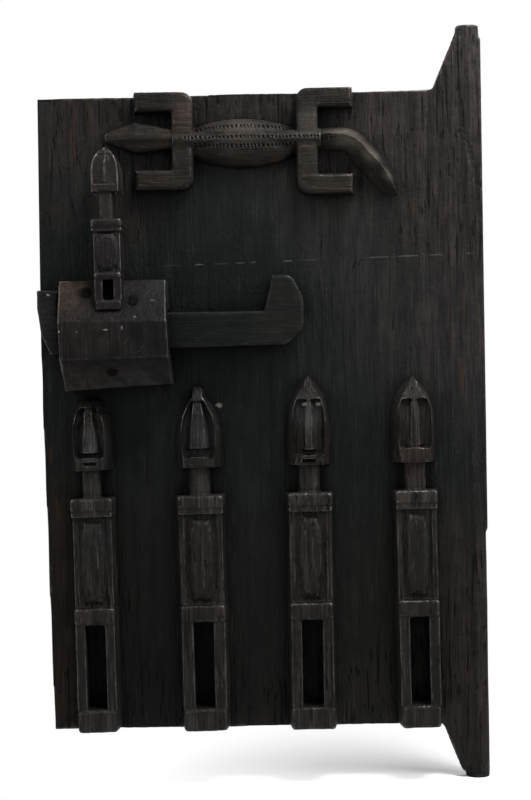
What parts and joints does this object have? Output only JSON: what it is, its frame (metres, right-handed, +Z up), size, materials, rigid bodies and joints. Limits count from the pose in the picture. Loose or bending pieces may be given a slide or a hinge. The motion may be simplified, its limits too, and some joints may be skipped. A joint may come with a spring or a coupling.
{
  "type": "granary door",
  "caption": "Carved wooden granary door with pintles on its hinge edge, a lizard and ancestor figures in relief, and a wooden tumbler lock with a sliding crossbolt.",
  "frame": {"origin": "tip of the lower pintle, on the axis that the door turns about", "axes": "+Z up along the pivot axis to the upper pintle, +X from the lock side to the hinge side, the carved front faces -Y and the flat back faces +Y"},
  "size_m": [0.4445, 0.088, 0.7532],
  "materials": {
    "door_wood": "very dark hand-carved hardwood, worn and dull",
    "lock_wood": "very dark hardwood with a handled, slightly glossy patina",
    "bolt_wood": "very dark hardwood, rubbed smooth by the hand",
    "tumbler_wood": "plain brown hardwood, not patinated",
    "peg_wood": "brown hardwood, end grain showing"
  },
  "bodies": {
    "door": {"door_plank": "door_wood", "lizard_relief": "door_wood", "ancestor_figure_1": "door_wood", "ancestor_figure_2": "door_wood", "ancestor_figure_3": "door_wood", "ancestor_figure_4": "door_wood", "lock_case": "lock_wood", "lock_figure": "lock_wood", "case_peg_upper_left": "peg_wood", "case_peg_upper_right": "peg_wood", "case_peg_lower": "peg_wood"},
    "crossbolt": {"crossbolt": "bolt_wood"},
    "tumbler_left": {"tumbler_left": "tumbler_wood"},
    "tumbler_middle": {"tumbler_middle": "tumbler_wood"},
    "tumbler_right": {"tumbler_right": "tumbler_wood"}
  },
  "joints": [
    {"name": "bolt_slide", "type": "slide", "parent": "door", "child": "crossbolt", "axis": [-1, 0, 0], "range_m": [0, 0.028]},
    {"name": "tumbler_left_lift", "type": "slide", "parent": "door", "child": "tumbler_left", "axis": [0, 0, 1], "range_m": [0, 0.008]},
    {"name": "tumbler_middle_lift", "type": "slide", "parent": "door", "child": "tumbler_middle", "axis": [0, 0, 1], "range_m": [0, 0.008]},
    {"name": "tumbler_right_lift", "type": "slide", "parent": "door", "child": "tumbler_right", "axis": [0, 0, 1], "range_m": [0, 0.008]}
  ]
}
